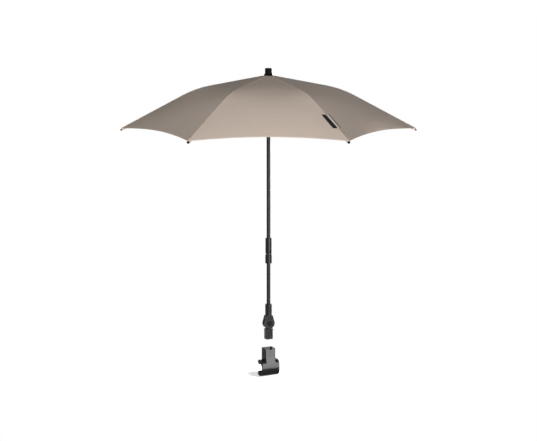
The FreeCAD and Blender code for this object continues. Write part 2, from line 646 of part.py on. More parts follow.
def stretcher():
    """Stretcher: square bar with an eye at the runner and a fork whose cheeks straddle the rib."""
    length = STRETCHER_LENGTH
    base_end = length - FORK_DEPTH
    base_start = base_end - FORK_BASE
    half_width = FORK_SLOT_HALF + FORK_CHEEK
    height = 2 * FORK_HALF_HEIGHT
    eye = eye_disc(Vec(), EYE_R, EYE_THICK)
    bar_start = WIRE_R + RUN_GAP
    bar_length = base_start + FORK_BASE / 2 - bar_start
    bar = Part.makeBox(bar_length, 2 * BAR_HALF, 2 * BAR_HALF, Vec(bar_start, -BAR_HALF, -BAR_HALF))
    base = Part.makeBox(FORK_BASE, 2 * half_width, height, Vec(base_start, -half_width, -FORK_HALF_HEIGHT))
    pieces = [bar, base]
    for side in (-1, 1):
        inner_y = side * FORK_SLOT_HALF
        low_y = min(inner_y, inner_y + side * FORK_CHEEK)
        corner = Vec(base_start, low_y, -FORK_HALF_HEIGHT)
        pieces.append(Part.makeBox(length - base_start, FORK_CHEEK, height, corner))
        end = Vec(length, low_y, 0)
        pieces.append(rod(FORK_END_R, end, end + Vec(0, FORK_CHEEK, 0)))
        head = Vec(length, side * half_width, 0)
        pieces.append(Part.makeCone(RIVET_R, RIVET_R / 2, RIVET_HEIGHT, head, Y_AXIS * side))
    solid = eye.fuse(pieces).cut(eye_disc(Vec(), WIRE_R + RUN_GAP, 2 * EYE_THICK)).removeSplitter()
    solid.rotate(Vec(), Y_AXIS, -math.degrees(STRETCHER_RISE))
    solid.translate(RUNNER_HINGE)
    return solid


def slider_levels():
    """Y of the slider's rear, the pocket's rear, and the slider's front shoulder and pad."""
    rear_inner = TUBE_R + RUN_GAP
    rear = rear_inner + SLIDER_WALL
    pocket_rear = rear + PAD_TRAVEL + RUN_GAP
    front_inner = -(TUBE_R + RUN_GAP + PAD_TRAVEL)
    shoulder = front_inner - SLIDER_WALL
    pad = -(HOUSING_R + PAD_PROUD)
    return rear_inner, rear, pocket_rear, front_inner, shoulder, pad


def slider_box(half_width, y_front, y_rear, grow):
    """A box round the pole at the height of the runner's button."""
    middle = RUNNER_Z - HOUSING_TOP - HOUSING_HEIGHT / 2
    half = SLIDER_HEIGHT / 2 + grow
    return Part.makeBox(2 * half_width, y_rear - y_front, 2 * half, Vec(-half_width, y_front, middle - half))


def slider_half_width():
    """Half width of the sliding ring, beside the tube."""
    return TUBE_R + 2 * RUN_GAP + SLIDER_WALL


def runner():
    """Runner: slotted collar for the stretchers, waist, button housing and skirt, on the tube."""
    bore = TUBE_R + RUN_GAP
    top = RUNNER_Z + NOTCH_COLLAR_UP
    collar_low = RUNNER_Z - NOTCH_COLLAR_DOWN
    house_top = RUNNER_Z - HOUSING_TOP
    house_low = house_top - HOUSING_HEIGHT
    bottom = RUNNER_Z - RUNNER_LENGTH
    bevel = (HOUSING_R - WAIST_R) / 2
    outline = [(bore, bottom), (SKIRT_R, bottom), (SKIRT_R, bottom + bevel), (WAIST_R, house_low - bevel)]
    outline += [(HOUSING_R, house_low), (HOUSING_R, house_top), (WAIST_R, house_top + bevel)]
    outline += [(WAIST_R, collar_low - bevel), (NOTCH_COLLAR_R, collar_low)]
    outline += [(NOTCH_COLLAR_R, top), (bore, top)]
    body = turned(outline)
    floor = RUNNER_Z - EYE_R - RUN_GAP
    tools = hub_slots(floor, top, RUNNER_HINGE_R - EYE_R - RUN_GAP)
    tools.append(wire_groove(RUNNER_HINGE_R, RUNNER_Z, NOTCH_COLLAR_R))
    _, _, pocket_rear, _, shoulder, pad = slider_levels()
    tools.append(slider_box(slider_half_width() + RUN_GAP, shoulder - RUN_GAP, pocket_rear, RUN_GAP))
    tools.append(slider_box(PAD_WIDTH / 2 + RUN_GAP, pad, 0, RUN_GAP))
    return body.cut(tools).removeSplitter()


def runner_button():
    """Push button of the runner: a ring round the tube whose rear wall grips it until it is pressed."""
    rear_inner, rear, _, front_inner, shoulder, pad = slider_levels()
    ring = slider_box(slider_half_width(), shoulder, rear, 0)
    window = slider_box(TUBE_R + 2 * RUN_GAP, front_inner, rear_inner, SLIDER_HEIGHT)
    thumb = slider_box(PAD_WIDTH / 2, pad, shoulder, 0)
    return ring.fuse(thumb).cut(window).removeSplitter()


def cloth_line():
    """Points of the cloth's upper face along a rib.

    They are the hole, the crown's edge, the start, middle and end of the rib's bend, and the corner.
    """
    offset = RIB_HALF + CLOTH_GAP + CLOTH
    stops = [INNER_LENGTH, INNER_LENGTH + BEND_LENGTH / 2, BEND_END, RIB_LENGTH - CORNER_INSET]
    hub_edge = Vec(CROWN_R / math.cos(HALF_GORE), 0, APEX_Z - HUB_SLOPE)
    return [Vec(CANOPY_HOLE_R, 0, APEX_Z), hub_edge] + [beside_rib(stop, offset) for stop in stops]


def cloth_profile():
    """Face through the cloth at the middle of a gore, in the XZ plane: taut runs and one bend."""
    upper = [Vec(point.x * math.cos(HALF_GORE), 0, point.z) for point in cloth_line()]
    drop = Z_AXIS * (CLOTH / math.cos(rib_station(RIB_LENGTH)[2]))
    lower = [point - drop for point in upper]
    edges = [Part.makeLine(upper[0], lower[0]), Part.makeLine(upper[-1], lower[-1])]
    for hole, hub_edge, bend_start, bend_middle, bend_end, corner in (upper, lower):
        edges.append(Part.makeLine(hole, hub_edge))
        edges.append(Part.makeLine(hub_edge, bend_start))
        edges.append(Part.Arc(bend_start, bend_middle, bend_end).toShape())
        edges.append(Part.makeLine(bend_end, corner))
    return Part.Face(Part.Wire(Part.__sortEdges__(edges)))


def hem_prism():
    """Upright block over one panel, with the hem's two curved halves as its outer side."""
    corner_r = cloth_line()[-1].x
    side = 2 * corner_r * math.sin(HALF_GORE)
    curve_r = (side ** 2 / 4 + HEM_SAG ** 2) / (2 * HEM_SAG)
    centre_r = corner_r * math.cos(HALF_GORE) - HEM_SAG + curve_r
    sweep = math.asin(side / 2 / curve_r)
    low = APEX_Z - RIB_LENGTH
    corner = Vec(corner_r, 0, low)

    def hem_point(turn):
        x = centre_r * math.cos(HALF_GORE) - curve_r * math.cos(HALF_GORE + turn)
        y = centre_r * math.sin(HALF_GORE) - curve_r * math.sin(HALF_GORE + turn)
        return Vec(x, y, low)

    past = hem_point(-sweep / 8)
    between = hem_point(sweep / 2)

    def mirrored(point):
        return Vec(point.x, -point.y, point.z)

    behind = Vec(-CANOPY_HOLE_R, 0, low)
    edges = [
        Part.Arc(corner, between, past).toShape(),
        Part.makeLine(past, behind),
        Part.makeLine(behind, mirrored(past)),
        Part.Arc(mirrored(past), mirrored(between), corner).toShape(),
    ]
    return Part.Face(Part.Wire(edges)).extrude(Z_AXIS * 2 * RIB_LENGTH)


def canopy_panel():
    """Cloth over one rib: the halves of two gores, drawn out level from the middle of each to the rib."""
    half = cloth_profile().extrude(Y_AXIS * -RIB_LENGTH)
    half.rotate(Vec(), Z_AXIS, GORE_DEG / 2)
    beside = Part.makeBox(RIB_LENGTH, RIB_LENGTH, 2 * RIB_LENGTH, Vec(0, 0, APEX_Z - RIB_LENGTH))
    half = half.common(beside)
    return half.fuse(half.mirror(Vec(), Y_AXIS)).common(hem_prism()).removeSplitter()


def save(name, shape):
    """Write one piece and say what it holds."""
    solids = shape.Solids
    piece = solids[0] if len(solids) == 1 else shape
    piece.exportStep("parts/" + name + ".step")
    print(f"{name}: {len(solids)} solid, {piece.Volume / 1000:.2f} cm3, valid {piece.isValid()}")


def main():
    os.makedirs("parts", exist_ok=True)
    single = {
        "clip_body": clip_body(),
        "clip_liner": clip_liner(),
        "foot_plug": foot_plug(),
        "tilt_head": tilt_head(),
        "tilt_axle": tilt_axle(),
        "tilt_nut": tilt_nut(),
        "tilt_spring": tilt_spring(),
        "tilt_button": tilt_button(),
        "lower_tube": lower_tube(),
        "elbow_lower": elbow_lower(),
        "elbow_upper": elbow_upper(),
        "elbow_pin": elbow_pin(),
        "upper_tube": upper_tube(),
        "crown": crown(),
        "crown_wire": hinge_wire(RIB_HINGE_R, RIB_HINGE_Z),
        "ferrule": ferrule(),
        "finial": finial(),
        "runner": runner(),
        "runner_wire": hinge_wire(RUNNER_HINGE_R, RUNNER_Z),
        "runner_button": runner_button(),
    }
    for name, shape in single.items():
        save(name, shape)
    repeated = {"rib": rib(), "rib_tip": rib_tip(), "stretcher": stretcher(), "canopy_panel": canopy_panel()}
    for name, shape in repeated.items():
        for number in range(RIB_COUNT):
            save(f"{name}_{number + 1}", at_rib(shape, number))
    travel, stretcher_turn = fold_figures()
    print(f"runner travel {travel:.2f} mm, rib turn {FOLD_DEG} deg, stretcher turn {stretcher_turn:.2f} deg")


main()
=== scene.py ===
# %% [markdown]
# # A pram parasol
# The parasol is a six-rib folding canopy on a thin black pole, with a tilting foot above a clip for the
# pram's tube. The rigid pieces come ready-made as the frame, at their real size. This lesson gives them
# their finishes, and makes what only a mesh can show: the cloth, its seams, hems and stitches, and a
# woven tag. Every length is in metres, in the frame's own axes: Z runs up the pole, -Y is the clip's front.

# %% Load the frame
import json
import math

import bpy
import numpy as np
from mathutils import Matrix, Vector


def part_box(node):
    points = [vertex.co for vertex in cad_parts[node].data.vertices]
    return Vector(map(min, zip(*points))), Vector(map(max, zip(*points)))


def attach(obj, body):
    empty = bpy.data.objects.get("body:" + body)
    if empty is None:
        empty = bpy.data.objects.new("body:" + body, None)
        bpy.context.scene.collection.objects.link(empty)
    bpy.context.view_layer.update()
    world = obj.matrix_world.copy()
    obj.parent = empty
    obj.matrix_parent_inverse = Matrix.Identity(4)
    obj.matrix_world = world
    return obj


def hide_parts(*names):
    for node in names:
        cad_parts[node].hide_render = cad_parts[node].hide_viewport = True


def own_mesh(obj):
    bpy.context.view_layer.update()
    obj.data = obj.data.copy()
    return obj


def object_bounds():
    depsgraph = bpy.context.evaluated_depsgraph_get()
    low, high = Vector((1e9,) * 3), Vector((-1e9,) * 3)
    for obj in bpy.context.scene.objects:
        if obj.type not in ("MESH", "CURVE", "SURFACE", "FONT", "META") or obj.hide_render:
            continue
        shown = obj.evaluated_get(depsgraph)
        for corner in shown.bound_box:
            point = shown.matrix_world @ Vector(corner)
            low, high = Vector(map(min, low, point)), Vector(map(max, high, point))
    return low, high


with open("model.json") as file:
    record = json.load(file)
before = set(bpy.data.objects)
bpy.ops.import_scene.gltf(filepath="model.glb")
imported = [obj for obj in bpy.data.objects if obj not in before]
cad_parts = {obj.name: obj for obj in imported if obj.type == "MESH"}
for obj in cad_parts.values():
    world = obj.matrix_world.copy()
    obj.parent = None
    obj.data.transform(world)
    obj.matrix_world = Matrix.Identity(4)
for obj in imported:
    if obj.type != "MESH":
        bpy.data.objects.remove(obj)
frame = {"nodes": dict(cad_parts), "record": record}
cad_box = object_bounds()
MM = 0.001

# %% [markdown]
# ## Camera
# The photograph looks slightly down on the canopy, straight at the middle of one of its six panels. Its
# long lens hardly converges, so the camera stands well back. The place follows from the ratio of the
# canopy's near edge to its full width, and from the heights of the top and the clip in the picture.

# %% Camera
CAMERA_TURN = math.radians(-25)      # round the pole, from straight in front of the clip
CAMERA_DISTANCE = 3.5
CAMERA_HEIGHT = 0.918
CAMERA_PITCH = math.radians(8.9)     # downward
CAMERA_LENS = 96.9                   # on a sensor 36 mm wide


def round_pole(turn, distance, height):
    """A point at a turn round the pole, where 0 is in front of the clip."""
    return Vector((math.sin(turn) * distance, -math.cos(turn) * distance, height))


camera = bpy.data.objects.new("camera", bpy.data.cameras.new("camera"))
camera.data.lens = CAMERA_LENS
camera.location = round_pole(CAMERA_TURN, CAMERA_DISTANCE, CAMERA_HEIGHT)
camera.rotation_euler = (math.pi / 2 - CAMERA_PITCH, 0, CAMERA_TURN)
bpy.context.scene.collection.objects.link(camera)
bpy.context.scene.camera = camera
print("camera at", [round(value, 3) for value in camera.location])

# %% [markdown]
# ## Helpers for materials
# Colours are written as the sRGB hex values that a colour picker shows, and turned to the linear values
# that the renderer mixes. One function adds a shader node, sets its inputs and links them, so that each
# material below reads as a list of what its surface is made of. The nodes could be placed by hand in the
# editor too, but a list is easier to read, compare and change.

# %% Material helpers
FROM_COLOUR, TO_COLOUR, MIXED_COLOUR = 6, 7, 2    # sockets of a Mix node that mixes colours


def linear(code):
    """Linear red, green, blue and alpha of an sRGB hex colour."""
    channels = [int(code[place:place + 2], 16) / 255 for place in (1, 3, 5)]
    curve = [((value + 0.055) / 1.055) ** 2.4 for value in channels]
    return [value / 12.92 if value <= 0.04045 else high for value, high in zip(channels, curve)] + [1.0]


def add_node(material, kind, inputs=None, **settings):
    """Add a node, set its properties, and set or link its inputs."""
    tree = material.node_tree
    node = tree.nodes.new(kind)
    for name, value in settings.items():
        setattr(node, name, value)
    for name, value in (inputs or {}).items():
        if isinstance(value, bpy.types.NodeSocket):
            tree.links.new(value, node.inputs[name])
        else:
            node.inputs[name].default_value = value
    return node


def start_material(name):
    """A node material with no nodes yet."""
    material = bpy.data.materials.new(name)
    material.use_nodes = True
    material.node_tree.nodes.clear()
    return material


print("middle grey in linear light:", round(linear("#808080")[0], 3))

# %% [markdown]
# ## The cloth
# The canopy is a plain-woven polyester in a warm taupe. Three things give it away as cloth: the threads,
# which cross at right angles in tiny ridges, the slubs, which are slightly thicker or paler stretches of
# single threads, and a soft sheen where the surface turns away. Real threads lie about 0.4 mm apart, too
# fine to show here, so they are drawn 1.6 mm apart. A picture of cloth could be wrapped round the canopy,
# but waves and noise have no edges and no fixed size. They run on a UV map that is laid out in metres, so
# every panel's threads run straight down its middle.

# %% Cloth material
THREAD_MM = 1.6
SLUB_MM = 45.0                       # length of a slub along its thread
CLOUD_MM = 140.0                     # size of the soft changes in shade
WEAVE_DEPTH_MM = 0.3
SHADE_LOW, SHADE_HIGH = 1.1, 1.9     # the sum of the three noises mostly lies between these
WAVE_RADIANS = 20                    # the wave texture turns through this angle in one unit
CLOTH_DARK = "#ada094"
CLOTH_LIGHT = "#b4a59a"


def cloth_material(name, dark, light):
    """Crossed threads in the bump, and slubs and soft clouds in the colour."""
    material = start_material(name)
    place = add_node(material, "ShaderNodeTexCoord").outputs
    thread_scale = 2 * math.pi / (WAVE_RADIANS * THREAD_MM * MM)
    heights = []
    slubs = []
    for band, stretch in (("X", (THREAD_MM, SLUB_MM)), ("Y", (SLUB_MM, THREAD_MM))):
        threads = {"Vector": place["UV"], "Scale": thread_scale}
        ridges = add_node(material, "ShaderNodeTexWave", threads, bands_direction=band)
        heights.append(ridges.outputs["Fac"])
        stretching = {0: place["UV"], 1: [1 / (size * MM) for size in stretch] + [1.0]}
        stretched = add_node(material, "ShaderNodeVectorMath", stretching, operation="MULTIPLY").outputs[0]
        streaks = {"Vector": stretched, "Scale": 1.0, "Detail": 2.0}
        slubs.append(add_node(material, "ShaderNodeTexNoise", streaks).outputs["Fac"])
    clouds = {"Vector": place["Object"], "Scale": 1 / (CLOUD_MM * MM), "Detail": 2.0}
    shade = add_node(material, "ShaderNodeTexNoise", clouds).outputs["Fac"]
    for slub in slubs:
        shade = add_node(material, "ShaderNodeMath", {0: shade, 1: slub}, operation="ADD").outputs[0]
    spread = {"Value": shade, "From Min": SHADE_LOW, "From Max": SHADE_HIGH}
    shade = add_node(material, "ShaderNodeMapRange", spread).outputs[0]
    colours = {0: shade, FROM_COLOUR: linear(dark), TO_COLOUR: linear(light)}
    colour = add_node(material, "ShaderNodeMix", colours, data_type="RGBA").outputs[MIXED_COLOUR]
    weave = add_node(material, "ShaderNodeMath", dict(enumerate(heights)), operation="MAXIMUM").outputs[0]
    relief = {"Height": weave, "Strength": 0.15, "Distance": WEAVE_DEPTH_MM * MM}
    bump = add_node(material, "ShaderNodeBump", relief)
    shader = add_node(material, "ShaderNodeBsdfPrincipled", {
        "Base Color": colour, "Roughness": 0.9, "Specular IOR Level": 0.05, "Sheen Weight": 0.03,
        "Sheen Roughness": 0.5, "Normal": bump.outputs["Normal"]})
    add_node(material, "ShaderNodeOutputMaterial", {"Surface": shader.outputs["BSDF"]})
    return material


# Woven polyester: warm and matt, with fine crossed ridges and a few paler or darker threads
taupe_cloth = cloth_material("plain_woven_polyester_taupe", CLOTH_DARK, CLOTH_LIGHT)
print("made", taupe_cloth.name)

# %% [markdown]
# ## Plastics, enamel, steel and rubber
# The pole is drawn steel tube under black stoved enamel: nearly smooth, with a slight orange peel. The
# joints are black nylon from a spark-eroded mould, which leaves a fine grit that blurs the highlights.
# Hidden pins and rings are zinc-plated steel, and the clip's lining is soft black rubber. All are one
# recipe with other figures: a base colour that varies a little, a grit for the bump, and a gloss. Each
# could have a recipe of its own, but side by side their figures show how they differ. The clip's flat
# front gets a painted highlight: a pale grey painted on the surfaces that face forward, where a broad
# lamp would be mirrored, while its rounded sides stay black. So its finish has a second colour for the
# surfaces that face forward.

# %% Painted highlight on the clip's front
FRONT_TILT = math.radians(12)        # upward from the clip's front
FRONT = Vector((0, -math.cos(FRONT_TILT), math.sin(FRONT_TILT)))
ROUNDED, FLAT = 0.955, 0.97          # cosines of the turn from the front, where the painted highlight starts and is full
HIGHLIGHT_FROM, HIGHLIGHT_TO = -1 * MM, 4 * MM    # heights where it starts and is full


def paint_front_highlight(material, surface, colour, front):
    """The colour, with a paler one painted as a highlight on the flat surfaces that face forward."""
    turned = {0: surface["Normal"], 1: FRONT}
    facing = add_node(material, "ShaderNodeVectorMath", turned, operation="DOT_PRODUCT").outputs["Value"]
    flatness = {"Value": facing, "From Min": ROUNDED, "From Max": FLAT}
    flat = add_node(material, "ShaderNodeMapRange", flatness).outputs[0]
    height = add_node(material, "ShaderNodeSeparateXYZ", {0: surface["Object"]}).outputs["Z"]
    border = {"Value": height, "From Min": HIGHLIGHT_FROM, "From Max": HIGHLIGHT_TO}
    high = add_node(material, "ShaderNodeMapRange", border).outputs[0]
    highlight_share = add_node(material, "ShaderNodeMath", {0: flat, 1: high}, operation="MULTIPLY").outputs[0]
    colours = {0: highlight_share, FROM_COLOUR: colour, TO_COLOUR: linear(front)}
    return add_node(material, "ShaderNodeMix", colours, data_type="RGBA").outputs[MIXED_COLOUR]


print("the painted_highlight fades in over", round((HIGHLIGHT_TO - HIGHLIGHT_FROM) / MM, 1), "mm")

# %% Recipe of the hard finishes
PATCH_MM = 12.0                      # size of the faint patches in a finish's colour
GLOSS_CHANGE = 0.02                  # the grit changes the roughness by this much both ways


def moulded_material(name, dark, light, grit_mm, depth_mm, roughness,
                     specular=0.05, metallic=0.0, front=None):
    """A hard finish: a slightly varied colour, a fine grit in its bump and gloss, maybe a painted highlight
    on the front.
    """
    material = start_material(name)
    surface = add_node(material, "ShaderNodeTexCoord").outputs
    patches = {"Vector": surface["Object"], "Scale": 1 / (PATCH_MM * MM)}
    patch = add_node(material, "ShaderNodeTexNoise", patches).outputs["Fac"]
    grains = {"Vector": surface["Object"], "Scale": 1 / (grit_mm * MM)}
    grit = add_node(material, "ShaderNodeTexNoise", grains).outputs["Fac"]
    colours = {0: patch, FROM_COLOUR: linear(dark), TO_COLOUR: linear(light)}
    colour = add_node(material, "ShaderNodeMix", colours, data_type="RGBA").outputs[MIXED_COLOUR]
    # painted highlight: the flat faces that look forward get a paler grey
    if front:
        colour = paint_front_highlight(material, surface, colour, front)
    around = {"Value": grit, "To Min": roughness - GLOSS_CHANGE, "To Max": roughness + GLOSS_CHANGE}
    gloss = add_node(material, "ShaderNodeMapRange", around).outputs[0]
    relief = {"Height": grit, "Strength": 0.2, "Distance": depth_mm * MM}
    bump = add_node(material, "ShaderNodeBump", relief)
    shader = add_node(material, "ShaderNodeBsdfPrincipled", {
        "Base Color": colour, "Roughness": gloss, "Metallic": metallic, "Specular IOR Level": specular,
        "Normal": bump.outputs["Normal"]})
    add_node(material, "ShaderNodeOutputMaterial", {"Surface": shader.outputs["BSDF"]})
    return material


print("patches of colour", PATCH_MM, "mm wide")

# %% Finishes of the frame's pieces
finishes = {
    # Enamel on rolled channel: dull and even, so the ribs stay quiet in the canopy's shade
    "frame_steel": moulded_material(
        "steel_channel_black_enamel", "#0d0c0b", "#131110", grit_mm=2.0, depth_mm=0.02, roughness=0.36),
    # Enamel on drawn tube: a slight orange peel, and one soft streak of light down its length
    "pole_paint": moulded_material(
        "steel_tube_black_enamel", "#0d0b0a", "#131110", grit_mm=6.0, depth_mm=0.002, roughness=0.34,
        specular=0.14),
    # Nylon from a spark-eroded mould: a fine grit that blurs the highlights on the joints
    "joint_plastic": moulded_material(
        "nylon_black_spark_eroded", "#0d0b0a", "#141211", grit_mm=0.5, depth_mm=0.002, roughness=0.34,
        specular=0.14),
    # The same nylon, with a painted highlight: a pale grey painted on the flat front, between black sides
    "clip_plastic": moulded_material(
        "nylon_black_painted_front_highlight", "#131212", "#1a1919", grit_mm=0.5, depth_mm=0.04, roughness=0.42,
        specular=0.03, front="#5b5a5a"),
    # ABS from a half-polished mould: buttons with a tighter highlight than the joint round them
    "button_plastic": moulded_material(
        "abs_black_semi_gloss", "#110f0e", "#181615", grit_mm=0.8, depth_mm=0.02, roughness=0.24),
    # ABS from a polished mould: the deepest black, on the knob at the top
    "finial_plastic": moulded_material(
        "abs_black_gloss", "#060505", "#0b0a09", grit_mm=0.8, depth_mm=0.02, roughness=0.24),
    # Nylon from a plain mould: small dull tips
    "tip_plastic": moulded_material(
        "nylon_black_moulded", "#100e0d", "#161413", grit_mm=0.6, depth_mm=0.03, roughness=0.4),
    # Moulded rubber: black with hardly any shine
    "grip_rubber": moulded_material(
        "rubber_black_moulded", "#0e0e0e", "#141313", grit_mm=0.7, depth_mm=0.05, roughness=0.72),
    # Zinc plating on steel: a bright grey metal with soft reflections
    "hardware_steel": moulded_material(
        "steel_zinc_plated", "#8e8e90", "#a4a4a6", grit_mm=0.8, depth_mm=0.01, roughness=0.32,
        specular=0.5, metallic=1.0),
}
node_slots = {row["node"]: row["material_slot"] for row in frame["record"]["subparts"]}
for node, piece in frame["nodes"].items():
    if node_slots[node] in finishes:
        piece.data.materials.clear()
        piece.data.materials.append(finishes[node_slots[node]])
frame["nodes"]["elbow_pin"].data.materials[0] = finishes["frame_steel"]    # its head shows, and is black
print(len(finishes), "hard finishes")

# %% [markdown]
# ## The shape of the cloth
# Each rib is a channel bar that runs straight out from the crown, bends down past the stretcher and runs
# straight on to its tip. The cloth is pulled over it: from the crown's edge it spans straight to the
# bend, follows it, and lies along the rib from there to the corner. Between two ribs the bend fades into
# a broader curve, and the cloth has a little slack, so that the panel billows between the bend and the
# tight hem. The hem curves in between two corners. A cloth simulation could find this shape, but cloth
# that is stretched on a frame leaves it little to find, and a formula gives the hems and stitches a place
# to lie on. A point on the cloth is found from its rib, its radius, and its share of the way to the
# middle of the next panel.

# %% Sizes of the canopy
RIB_COUNT = 6
RIB_TURN = math.radians(35)          # direction of the first rib from +X
HALF_GORE = math.pi / RIB_COUNT
RIB_HINGE_R = 8.0 * MM
RIB_HINGE_DROP = 6.5 * MM
RIB_START_SLOPE = math.radians(8.9)
INNER_LENGTH = 125.0 * MM
BEND_LENGTH = 80.0 * MM
BEND = math.radians(19.1)
OUTER_LENGTH = 170.0 * MM
RIB_LENGTH = INNER_LENGTH + BEND_LENGTH + OUTER_LENGTH
BEND_R = BEND_LENGTH / BEND
CLOTH_THICK = 0.6 * MM
CLOTH_RISE = 3.6 * MM                # the cloth's upper face above the rib's centre line
CORNER_INSET = 1.0 * MM
HOLE_R = 6.7 * MM
HUB_EDGE = (14.43 * MM, -0.3 * MM)   # radius, and height from the canopy's top
HEM_SAG = 11.0 * MM                  # how far the hem curves in
BILLOW = 5.5 * MM                    # how far the middle of a panel stands above the line between two ribs
BROADER = 75.0 * MM                  # the middle's bend reaches this much further both ways than the rib's
APEX_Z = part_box("canopy_panel_1")[1].z
print("ribs", round(RIB_LENGTH, 3), "long, canopy's top at", round(APEX_Z, 4))

# %% Line of the cloth over a rib
BEND_STEPS = 60


def beside_rib(along, offset):
    """Radius, and height from the canopy's top, at a length along the rib and an offset above it."""
    inner = min(along, INNER_LENGTH)
    bend = min(max(along - INNER_LENGTH, 0), BEND_LENGTH)
    outer = max(along - INNER_LENGTH - BEND_LENGTH, 0)
    slope = RIB_START_SLOPE + bend / BEND_R
    radius = RIB_HINGE_R + inner * math.cos(RIB_START_SLOPE) + outer * math.cos(slope)
    radius += BEND_R * (math.sin(slope) - math.sin(RIB_START_SLOPE))
    height = -RIB_HINGE_DROP - inner * math.sin(RIB_START_SLOPE) - outer * math.sin(slope)
    height -= BEND_R * (math.cos(RIB_START_SLOPE) - math.cos(slope))
    return radius + offset * math.sin(slope), height + offset * math.cos(slope)


bend_places = np.linspace(INNER_LENGTH, INNER_LENGTH + BEND_LENGTH, BEND_STEPS)
line_points = [(HOLE_R, 0.0), HUB_EDGE]
line_points += [beside_rib(along, CLOTH_RISE) for along in bend_places]
line_points.append(beside_rib(RIB_LENGTH - CORNER_INSET, CLOTH_RISE))
LINE = np.array(line_points)
CORNER_R, CORNER_DROP = LINE[-1]
CHORD = 2 * CORNER_R * math.sin(HALF_GORE)
HEM_R = (CHORD ** 2 / 4 + HEM_SAG ** 2) / (2 * HEM_SAG)
HEM_CENTRE = CORNER_R * math.cos(HALF_GORE) - HEM_SAG + HEM_R
print("corner at radius", round(CORNER_R, 4), "and", round(CORNER_DROP, 4), "from the top")

# %% Heights and hem
SMOOTH_STEPS = 41
DROP_STEPS = 240
HEM_ROUNDS = 8                       # enough for the hem's radius to settle


def rib_height(radius):
    """Height of the cloth over a rib, from the canopy's top."""
    return np.interp(radius, LINE[:, 0], LINE[:, 1])


def middle_drop(radius):
    """How far the middle of a panel lies below the rib at the same radius."""
    share = max(0.0, (radius - HUB_EDGE[0]) / (CORNER_R - HUB_EDGE[0]))
    reach = max(0.0, min(BROADER, radius - HUB_EDGE[0], CORNER_R - radius))
    smooth = rib_height(np.linspace(radius - reach, radius + reach, SMOOTH_STEPS)).mean()
    return rib_height(radius) - smooth - BILLOW * math.sin(math.pi * share ** 2)


DROP_RADII = np.linspace(HOLE_R, CORNER_R, DROP_STEPS)
DROPS = np.array([middle_drop(radius) for radius in DROP_RADII])


def hem_radius(share):
    """Radius, measured on the rib, of the straight line across the panel that meets the hem there."""
    radius = CORNER_R
    for _ in range(HEM_ROUNDS):
        sideways = radius * math.sin(HALF_GORE) * (1 - abs(share))
        radius = (HEM_CENTRE - math.sqrt(HEM_R ** 2 - sideways ** 2)) / math.cos(HALF_GORE)
    return radius


print("hem curves in from radius", round(hem_radius(0), 4), "to", round(hem_radius(1), 4))

# %% Points on the cloth
STEP_ALONG = 0.5 * MM
STEP_ACROSS = 0.01                   # as a share


def rib_frame(number):
    """Outward and sideways directions of a rib, counted from 0."""
    turn = RIB_TURN + number * 2 * HALF_GORE
    return Vector((math.cos(turn), math.sin(turn), 0)), Vector((-math.sin(turn), math.cos(turn), 0))


def cloth_point(number, radius, share):
    """Point on the cloth. Share is -1 in the middle of one panel, 0 on the rib and 1 in the next middle."""
    outward, sideways = rib_frame(number)
    across = abs(share)
    height = rib_height(radius) - np.interp(radius, DROP_RADII, DROPS) * across * (2 - across)
    out = radius * (1 - across * math.sin(HALF_GORE) ** 2)
    side = radius * share * math.sin(HALF_GORE) * math.cos(HALF_GORE)
    return outward * out + sideways * side + Vector((0, 0, APEX_Z + height))


def cloth_normal(number, radius, share):
    """Upward normal of the cloth, from two short steps on it. In a panel's outer half one goes inward."""
    further = cloth_point(number, radius + STEP_ALONG, share)
    nearer = cloth_point(number, radius - STEP_ALONG, share)
    side = 1 if share >= 0 else -1
    inner = share - side * STEP_ACROSS if abs(share) > 0.5 else share
    outer = inner + side * STEP_ACROSS
    across = (cloth_point(number, radius, outer) - cloth_point(number, radius, inner)) * side
    return (further - nearer).cross(across).normalized()


def on_cloth(number, radius, share, rise):
    """Point above the cloth by rise."""
    return cloth_point(number, radius, share) + cloth_normal(number, radius, share) * rise


print("middle of the first border at", [round(value, 3) for value in cloth_point(0, CORNER_R / 2, 1)])

# %% [markdown]
# ## Six panels of cloth
# On the real canopy six triangular panels meet in seams over the ribs. When it folds, each rib swings
# down and the cloth on both sides of it gathers. So the cloth is cut here along the middles of the
# panels: each piece lies over one rib and rides on it. The borders of two neighbours share the same
# points, and the cloth is level across the border, so that at rest the canopy shows one continuous
# sheet. A fine pucker along the seams is what a tight stitch leaves.
#
# The folded cloth must narrow far less near the crown than at the hem. A lining lies under the inner
# half of each piece, in four tiers, and is hidden while the canopy is open.

# %% Mesh helpers
SHARP = math.radians(40)


def piece_from(name, points, faces, material, body):
    """A smooth mesh piece that rides on a body."""
    mesh = bpy.data.meshes.new(name)
    mesh.from_pydata([tuple(point) for point in points], [], faces)
    mesh.materials.append(material)
    mesh.polygons.foreach_set("use_smooth", [True] * len(mesh.polygons))
    mesh.set_sharp_from_angle(angle=SHARP)
    piece = bpy.data.objects.new(name, mesh)
    bpy.context.scene.collection.objects.link(piece)
    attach(piece, body)
    return piece


def grid_faces(rows, columns, start=0):
    """Quads of a grid of points, row by row."""
    faces = []
    for row in range(rows - 1):
        for column in range(columns - 1):
            corner = start + row * columns + column
            faces.append((corner, corner + columns, corner + columns + 1, corner + 1))
    return faces


def thick_faces(rows, columns):
    """Quads of two grids, upper then lower, and of the rim between them."""
    count = rows * columns
    faces = grid_faces(rows, columns)
    faces += [tuple(reversed(face)) for face in grid_faces(rows, columns, count)]
    rim = list(range(columns))
    rim += [row * columns + columns - 1 for row in range(1, rows)]
    rim += [count - 1 - column for column in range(1, columns)]
    rim += [row * columns for row in range(rows - 2, 0, -1)]
    for one, two in zip(rim, rim[1:] + rim[:1]):
        faces.append((one, two, two + count, one + count))
    return faces


print("a thick sheet of 2 by 2 points has", len(thick_faces(2, 2)), "faces")

